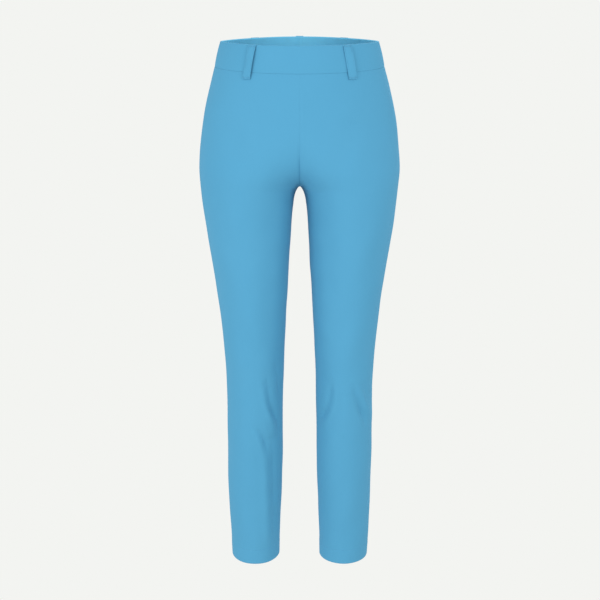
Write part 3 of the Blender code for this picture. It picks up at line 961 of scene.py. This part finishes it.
# ---------------------------------------------------------------- studio, in metres and watts
FOCAL_PIXELS = 1334.0
FRAME_PIXELS = 600.0
SENSOR_WIDTH = 36.0
AIM = Vector((0.0007, 0.0, -0.4632))
CAMERA_DISTANCE = 2.428
CAMERA_PITCH = math.radians(13.0)
FLOOR_HEIGHT = -1.35
FLOOR_RADIUS = 40.0
FLOOR_CORNERS = 96
LIGHT_DISTANCE = 3.2

# Soft boxes: degrees round from the front and up, size and power.
SoftBox = namedtuple("SoftBox", "name azimuth elevation size power")
SOFT_BOXES = (
    SoftBox("key_light", -36, 18, 1.2, 29.0),
    SoftBox("low_light", -60, -12, 1.2, 32.0),
    SoftBox("fill_light", 40, 18, 1.2, 38.0),
    SoftBox("back_light", 170, 38, 1.4, 85.0),
)


def make_camera():
    """The photograph's view: a long lens a little above the waist, looking slightly down."""
    camera = bpy.data.objects.new("camera", bpy.data.cameras.new("camera"))
    bpy.context.collection.objects.link(camera)
    camera.data.sensor_width = SENSOR_WIDTH
    camera.data.lens = FOCAL_PIXELS / FRAME_PIXELS * SENSOR_WIDTH
    look = Vector((0.0, math.cos(CAMERA_PITCH), -math.sin(CAMERA_PITCH)))
    camera.location = AIM - look * CAMERA_DISTANCE
    camera.rotation_mode = "QUATERNION"
    camera.rotation_quaternion = look.to_track_quat("-Z", "Y")
    bpy.context.scene.camera = camera


def make_soft_light(box):
    """A square soft box that faces the garment and isn't seen itself."""
    azimuth = math.radians(box.azimuth)
    elevation = math.radians(box.elevation)
    level = LIGHT_DISTANCE * math.cos(elevation)
    height = LIGHT_DISTANCE * math.sin(elevation)
    away = Vector((math.sin(azimuth) * level, -math.cos(azimuth) * level, height))
    lamp = bpy.data.lights.new(box.name, "AREA")
    lamp.shape = "SQUARE"
    lamp.size = box.size
    lamp.energy = box.power
    light = bpy.data.objects.new(box.name, lamp)
    bpy.context.collection.objects.link(light)
    light.visible_camera = False
    light.location = AIM + away
    light.rotation_mode = "QUATERNION"
    light.rotation_quaternion = (-away).to_track_quat("-Z", "Y")


def make_studio():
    """Pale floor, even surroundings, soft light from both front sides and one box behind."""
    scene = bpy.context.scene
    scene.view_settings.view_transform = "Standard"
    world = bpy.data.worlds.new("studio")
    world.use_nodes = True
    world.node_tree.nodes["Background"].inputs["Color"].default_value = PALE
    world.node_tree.nodes["Background"].inputs["Strength"].default_value = 1.0
    scene.world = world
    mesh = bpy.data.meshes.new("floor")
    turns = np.linspace(0, 2 * math.pi, FLOOR_CORNERS + 1)[:-1]
    level = FLOOR_RADIUS * np.stack([np.cos(turns), np.sin(turns)], -1)
    mesh.from_pydata([(x, y, FLOOR_HEIGHT) for x, y in level.tolist()], [], [range(len(level))])
    floor = make_piece("floor", mesh, [pale_paper("pale_paper")])
    for box in SOFT_BOXES:
        make_soft_light(box)


# ---------------------------------------------------------------- the garment
# What it is made from: four finishes, and the node tree that sews.
Supplies = namedtuple("Supplies", "cloth inside edge thread tree")


def dress(piece, slot, *nodes):
    """The piece rides on the garment's body and stands for its solids, which are hidden."""
    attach(piece, "root")
    if nodes:
        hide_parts(*nodes)


def make_leg(side, side_name, supplies):
    """The front and back of one leg, with its hem's stitches and the seam edges inside."""
    side_edge = make_leg_allowance(
        f"side_seam_edge_{side_name}", True, side, SIDE_EDGE_ROWS, supplies.edge
    )
    inner_edge = make_leg_allowance(
        f"inside_leg_seam_edge_{side_name}", False, side, INNER_EDGE_ROWS, supplies.edge
    )
    hem = sew(f"hem_stitches_{side_name}", hem_lines(side), supplies, HEM_ROW)
    for extra in (side_edge, inner_edge, hem):
        dress(extra, "cloth")
    for facing, facing_name in FACING_NAMES.items():
        panel = make_leg_panel(facing, side, supplies.cloth, supplies.inside)
        dress(panel, "cloth", f"leg_{facing_name}_{side_name}")


def make_bands(supplies):
    """The waistband: one piece in front, and two that meet at the centre back."""
    fabric = (supplies.cloth, supplies.inside)
    front_band = make_waistband("cloth_waistband_front", FRONT, (LEFT, RIGHT), *fabric)
    dress(front_band, "waistband_cloth", "waistband_front")
    for side, side_name in SIDE_NAMES.items():
        back_band = make_waistband(f"cloth_waistband_back_{side_name}", BACK, (side,), *fabric)
        dress(back_band, "waistband_cloth", f"waistband_back_{side_name}")


def make_sewn_loop(place, cut, supplies):
    """One belt loop with its stitches and tacks."""
    name = "belt_loop_" + place
    loop = make_belt_loop("cloth_" + name, cut, supplies.cloth)
    dress(loop, "loop_cloth", name)
    edges = sew(name + "_stitches", loop_lines(cut), supplies, LOOP_ROW)
    tacks = sew(name + "_tacks", tack_lines(cut), supplies, TACK_ROW)
    dress(edges, "loop_cloth")
    dress(tacks, "loop_cloth")


def make_garment():
    """Every piece of cloth and every line of stitches."""
    supplies = Supplies(
        cloth=twill("sky_blue_twill", SKY_BLUE, SKY_BLUE_LIT, SKY_BLUE_DARK_MOTTLE_AND_SHADE),
        # The inside finish carries painted light: its lighter blue brightens the shaded inside.
        inside=twill("twill_inside_painted_light", INSIDE_BLUE_PAINTED_LIGHT, INSIDE_BLUE_PAINTED_LIGHT, SKY_BLUE, 1.3),
        edge=overlocked("overlocked_edge"),
        thread=thread("sewing_thread"),
        tree=stitch_tree("stitch_line"),
    )
    for side, side_name in SIDE_NAMES.items():
        make_leg(side, side_name, supplies)
    for facing, facing_name in FACING_NAMES.items():
        name = f"centre_{facing_name}_seam_edge"
        centre_edge = make_centre_allowance(name, facing, CENTRE_EDGE_ROWS, supplies.edge)
        dress(centre_edge, "cloth")
    make_bands(supplies)
    for place, band, cut in LOOPS:
        make_sewn_loop(place, cut, supplies)


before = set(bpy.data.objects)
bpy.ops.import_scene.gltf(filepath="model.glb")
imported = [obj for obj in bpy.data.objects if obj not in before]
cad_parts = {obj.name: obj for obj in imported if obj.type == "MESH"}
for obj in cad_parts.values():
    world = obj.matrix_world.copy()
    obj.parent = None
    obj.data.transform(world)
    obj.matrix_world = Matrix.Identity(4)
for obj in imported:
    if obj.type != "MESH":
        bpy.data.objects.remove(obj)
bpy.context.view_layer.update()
make_camera()
make_studio()
make_garment()
